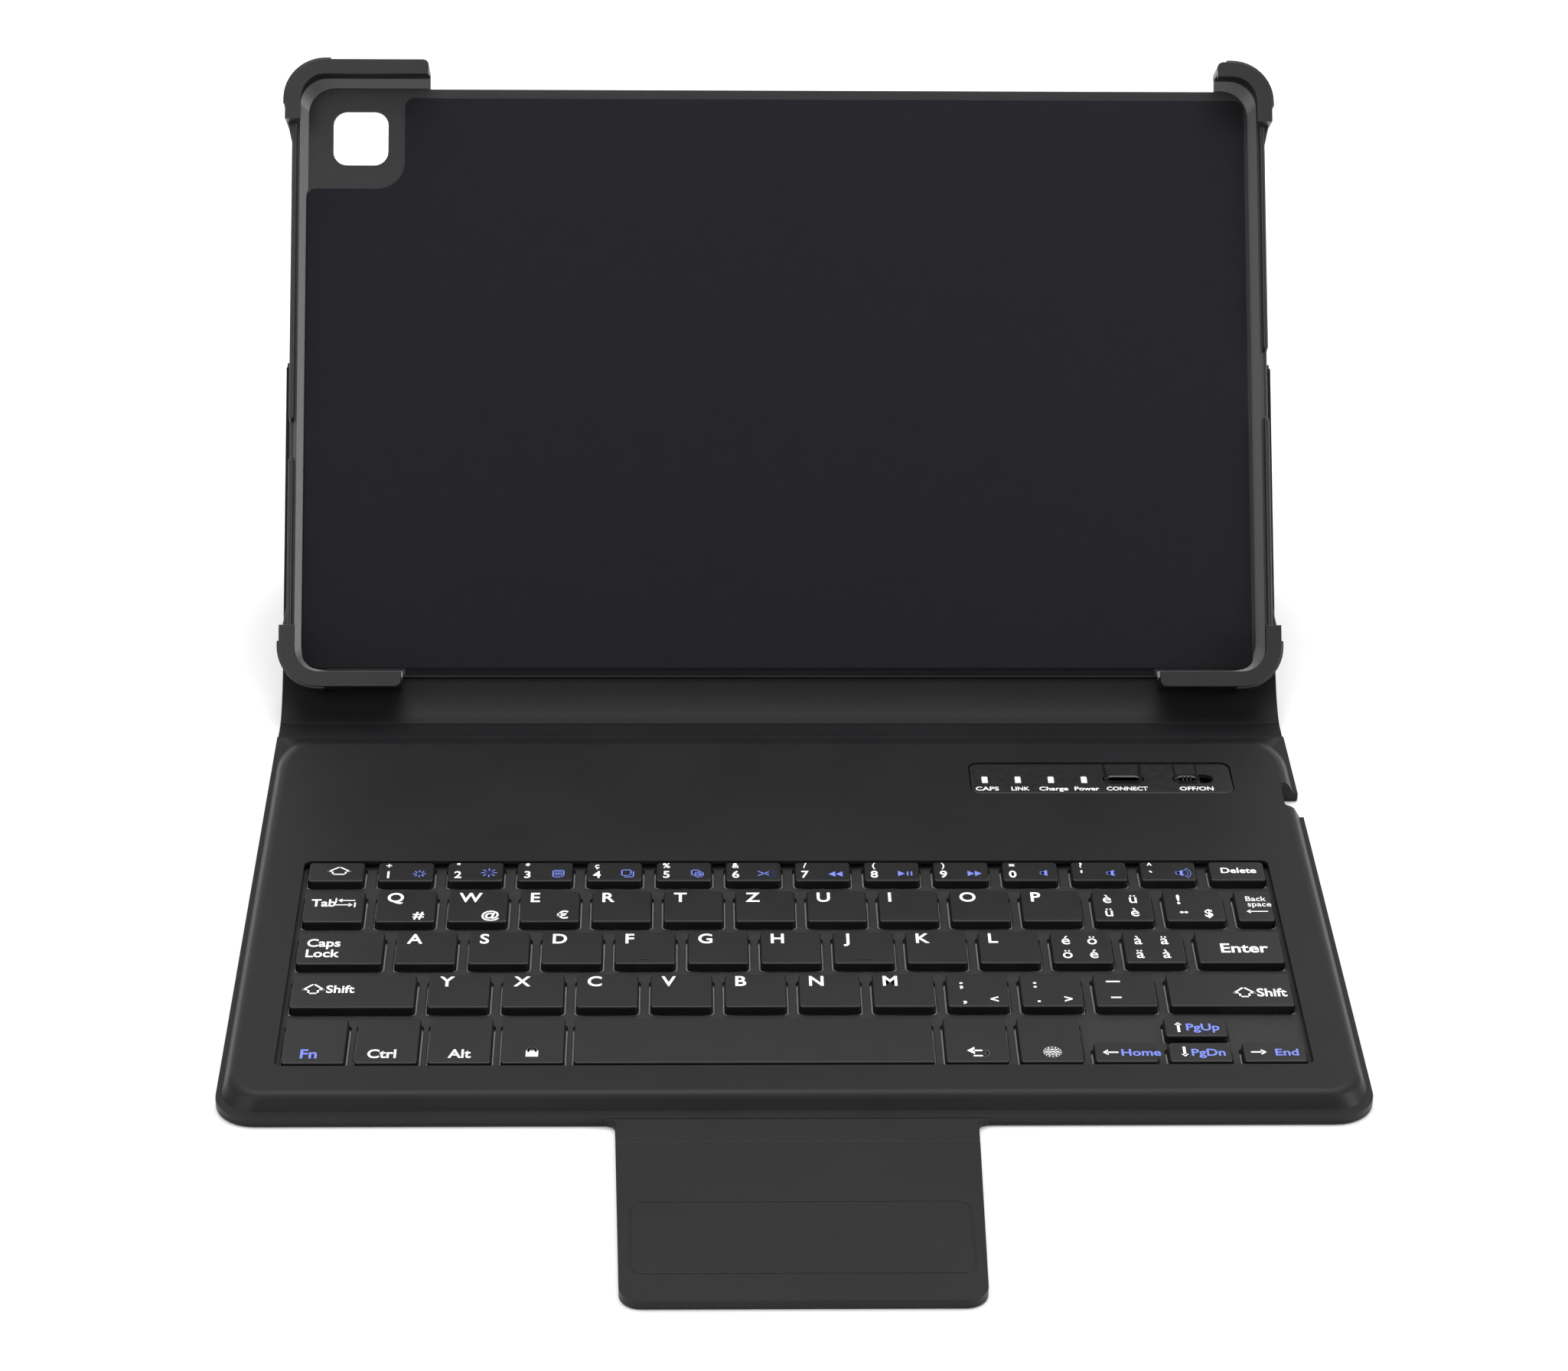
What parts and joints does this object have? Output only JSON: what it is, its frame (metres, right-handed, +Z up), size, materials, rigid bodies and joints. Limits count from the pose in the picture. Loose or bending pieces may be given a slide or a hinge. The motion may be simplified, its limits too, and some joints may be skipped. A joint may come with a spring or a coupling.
{
  "type": "tablet keyboard case",
  "caption": "Folio case with a thin keyboard half, soft spine, corner-clip tablet tray on a fold-out kickstand back, and a closing flap.",
  "frame": {"origin": "centre of the keyboard half's underside, on the desk", "axes": "+X to the typist's right, +Y away from the typist, +Z up"},
  "size_m": [0.2502, 0.3366, 0.1407],
  "materials": {
    "cover_skin": "matt, fine grain",
    "stiff_board": "plain",
    "black_plastic": "fine spark texture",
    "key_plastic": "matt",
    "gloss_black": "semi-gloss",
    "felt": "short fine nap",
    "steel": "plain",
    "silicone": "plain",
    "film": "clear film",
    "board_laminate": "solder mask",
    "battery_foil": "foil",
    "clear_plastic": "clear",
    "magnet": "plated"
  },
  "bodies": {
    "keyboard": {"base_skin": "cover_skin", "base_plate": "black_plastic", "deck_skin": "cover_skin", "top_frame": "black_plastic", "key_frame": "black_plastic", "dome_sheet": "silicone", "membrane": "film", "backing_plate": "steel", "circuit_board": "board_laminate", "battery": "battery_foil", "charge_socket": "steel", "indicator_panel": "black_plastic", "status_lenses": "clear_plastic", "switch_bodies": "steel"},
    "spine": {"spine_skin": "cover_skin"},
    "tray": {"back_skin": "cover_skin", "back_board": "stiff_board", "tray_shell": "black_plastic", "tray_lining": "felt"},
    "kickstand": {"stand_skin": "cover_skin", "stand_board": "stiff_board", "catch_plate": "steel"},
    "flap_bridge": {"flap_bridge": "cover_skin"},
    "flap_tip": {"flap_tip": "cover_skin", "flap_stiffener": "stiff_board", "flap_magnets": "magnet"},
    "power_slide": {"power_slider": "gloss_black"},
    "pairing_button": {"connect_button": "gloss_black"},
    "number_row": {"number_row_keys": "key_plastic"},
    "tab_row": {"tab_row_keys": "key_plastic"},
    "caps_row": {"caps_row_keys": "key_plastic"},
    "shift_row": {"shift_row_keys": "key_plastic"},
    "bottom_row": {"bottom_row_keys": "key_plastic"},
    "space_bar": {"key_space": "key_plastic"},
    "key_q": {"key_q": "key_plastic"},
    "key_w": {"key_w_letter": "key_plastic"},
    "key_e": {"key_e": "key_plastic"},
    "key_r": {"key_r_letter": "key_plastic"},
    "key_t": {"key_t": "key_plastic"},
    "key_z": {"key_z": "key_plastic"},
    "key_u": {"key_u": "key_plastic"},
    "key_i": {"key_i": "key_plastic"},
    "key_o": {"key_o": "key_plastic"},
    "key_p": {"key_p": "key_plastic"},
    "key_a": {"key_a": "key_plastic"},
    "key_s": {"key_s": "key_plastic"},
    "key_d": {"key_d_letter": "key_plastic"},
    "key_f": {"key_f": "key_plastic"},
    "key_g": {"key_g": "key_plastic"},
    "key_h": {"key_h": "key_plastic"},
    "key_j": {"key_j": "key_plastic"},
    "key_k": {"key_k": "key_plastic"},
    "key_l": {"key_l": "key_plastic"},
    "key_y": {"key_y": "key_plastic"},
    "key_x": {"key_x": "key_plastic"},
    "key_c": {"key_c": "key_plastic"},
    "key_v": {"key_v": "key_plastic"},
    "key_b": {"key_b": "key_plastic"},
    "key_n": {"key_n": "key_plastic"},
    "key_m": {"key_m": "key_plastic"}
  },
  "joints": [
    {"name": "spine_fold", "type": "hinge", "parent": "keyboard", "child": "spine", "pos_m": [0, 0.0815, 0.0018], "axis": [1, 0, 0], "range_deg": [-12, 78]},
    {"name": "tray_fold", "type": "hinge", "parent": "spine", "child": "tray", "pos_m": [0, 0.09656, 0.005], "axis": [1, 0, 0], "range_deg": [-41.7, 48.3]},
    {"name": "kickstand_fold", "type": "hinge", "parent": "tray", "child": "kickstand", "pos_m": [0, 0.14804, 0.07204], "axis": [-1, 0, 0], "range_deg": [-121.51, 50]},
    {"name": "flap_root_fold", "type": "hinge", "parent": "keyboard", "child": "flap_bridge", "pos_m": [0, -0.0815, 0.0022], "axis": [-1, 0, 0], "range_deg": [0, 90]},
    {"name": "flap_tip_fold", "type": "hinge", "parent": "flap_bridge", "child": "flap_tip", "pos_m": [0, -0.0987, 0.0022], "axis": [-1, 0, 0], "range_deg": [0, 90]},
    {"name": "power_switch", "type": "slide", "parent": "keyboard", "child": "power_slide", "axis": [1, 0, 0], "range_m": [0, 0.003]},
    {"name": "pairing_press", "type": "slide", "parent": "keyboard", "child": "pairing_button", "axis": [0, 0, -1], "range_m": [0, 0.0005], "stiffness_N_per_m": 800},
    {"name": "space_bar_press", "type": "slide", "parent": "keyboard", "child": "space_bar", "axis": [0, 0, -1], "range_m": [0, 0.0011], "stiffness_N_per_m": 500},
    {"name": "number_row_press", "type": "slide", "parent": "keyboard", "child": "number_row", "axis": [0, 0, -1], "range_m": [0, 0.0011], "stiffness_N_per_m": 2000},
    {"name": "tab_row_press", "type": "slide", "parent": "keyboard", "child": "tab_row", "axis": [0, 0, -1], "range_m": [0, 0.0011], "stiffness_N_per_m": 1200},
    {"name": "caps_row_press", "type": "slide", "parent": "keyboard", "child": "caps_row", "axis": [0, 0, -1], "range_m": [0, 0.0011], "stiffness_N_per_m": 1200},
    {"name": "shift_row_press", "type": "slide", "parent": "keyboard", "child": "shift_row", "axis": [0, 0, -1], "range_m": [0, 0.0011], "stiffness_N_per_m": 1500},
    {"name": "bottom_row_press", "type": "slide", "parent": "keyboard", "child": "bottom_row", "axis": [0, 0, -1], "range_m": [0, 0.0011], "stiffness_N_per_m": 2000},
    {"name": "key_q_press", "type": "slide", "parent": "keyboard", "child": "key_q", "axis": [0, 0, -1], "range_m": [0, 0.0011], "stiffness_N_per_m": 450},
    {"name": "key_w_press", "type": "slide", "parent": "keyboard", "child": "key_w", "axis": [0, 0, -1], "range_m": [0, 0.0011], "stiffness_N_per_m": 450},
    {"name": "key_e_press", "type": "slide", "parent": "keyboard", "child": "key_e", "axis": [0, 0, -1], "range_m": [0, 0.0011], "stiffness_N_per_m": 450},
    {"name": "key_r_press", "type": "slide", "parent": "keyboard", "child": "key_r", "axis": [0, 0, -1], "range_m": [0, 0.0011], "stiffness_N_per_m": 450},
    {"name": "key_t_press", "type": "slide", "parent": "keyboard", "child": "key_t", "axis": [0, 0, -1], "range_m": [0, 0.0011], "stiffness_N_per_m": 450},
    {"name": "key_z_press", "type": "slide", "parent": "keyboard", "child": "key_z", "axis": [0, 0, -1], "range_m": [0, 0.0011], "stiffness_N_per_m": 450},
    {"name": "key_u_press", "type": "slide", "parent": "keyboard", "child": "key_u", "axis": [0, 0, -1], "range_m": [0, 0.0011], "stiffness_N_per_m": 450},
    {"name": "key_i_press", "type": "slide", "parent": "keyboard", "child": "key_i", "axis": [0, 0, -1], "range_m": [0, 0.0011], "stiffness_N_per_m": 450},
    {"name": "key_o_press", "type": "slide", "parent": "keyboard", "child": "key_o", "axis": [0, 0, -1], "range_m": [0, 0.0011], "stiffness_N_per_m": 450},
    {"name": "key_p_press", "type": "slide", "parent": "keyboard", "child": "key_p", "axis": [0, 0, -1], "range_m": [0, 0.0011], "stiffness_N_per_m": 450},
    {"name": "key_a_press", "type": "slide", "parent": "keyboard", "child": "key_a", "axis": [0, 0, -1], "range_m": [0, 0.0011], "stiffness_N_per_m": 450},
    {"name": "key_s_press", "type": "slide", "parent": "keyboard", "child": "key_s", "axis": [0, 0, -1], "range_m": [0, 0.0011], "stiffness_N_per_m": 450},
    {"name": "key_d_press", "type": "slide", "parent": "keyboard", "child": "key_d", "axis": [0, 0, -1], "range_m": [0, 0.0011], "stiffness_N_per_m": 450},
    {"name": "key_f_press", "type": "slide", "parent": "keyboard", "child": "key_f", "axis": [0, 0, -1], "range_m": [0, 0.0011], "stiffness_N_per_m": 450},
    {"name": "key_g_press", "type": "slide", "parent": "keyboard", "child": "key_g", "axis": [0, 0, -1], "range_m": [0, 0.0011], "stiffness_N_per_m": 450},
    {"name": "key_h_press", "type": "slide", "parent": "keyboard", "child": "key_h", "axis": [0, 0, -1], "range_m": [0, 0.0011], "stiffness_N_per_m": 450},
    {"name": "key_j_press", "type": "slide", "parent": "keyboard", "child": "key_j", "axis": [0, 0, -1], "range_m": [0, 0.0011], "stiffness_N_per_m": 450},
    {"name": "key_k_press", "type": "slide", "parent": "keyboard", "child": "key_k", "axis": [0, 0, -1], "range_m": [0, 0.0011], "stiffness_N_per_m": 450},
    {"name": "key_l_press", "type": "slide", "parent": "keyboard", "child": "key_l", "axis": [0, 0, -1], "range_m": [0, 0.0011], "stiffness_N_per_m": 450},
    {"name": "key_y_press", "type": "slide", "parent": "keyboard", "child": "key_y", "axis": [0, 0, -1], "range_m": [0, 0.0011], "stiffness_N_per_m": 450},
    {"name": "key_x_press", "type": "slide", "parent": "keyboard", "child": "key_x", "axis": [0, 0, -1], "range_m": [0, 0.0011], "stiffness_N_per_m": 450},
    {"name": "key_c_press", "type": "slide", "parent": "keyboard", "child": "key_c", "axis": [0, 0, -1], "range_m": [0, 0.0011], "stiffness_N_per_m": 450},
    {"name": "key_v_press", "type": "slide", "parent": "keyboard", "child": "key_v", "axis": [0, 0, -1], "range_m": [0, 0.0011], "stiffness_N_per_m": 450},
    {"name": "key_b_press", "type": "slide", "parent": "keyboard", "child": "key_b", "axis": [0, 0, -1], "range_m": [0, 0.0011], "stiffness_N_per_m": 450},
    {"name": "key_n_press", "type": "slide", "parent": "keyboard", "child": "key_n", "axis": [0, 0, -1], "range_m": [0, 0.0011], "stiffness_N_per_m": 450},
    {"name": "key_m_press", "type": "slide", "parent": "keyboard", "child": "key_m", "axis": [0, 0, -1], "range_m": [0, 0.0011], "stiffness_N_per_m": 450}
  ]
}
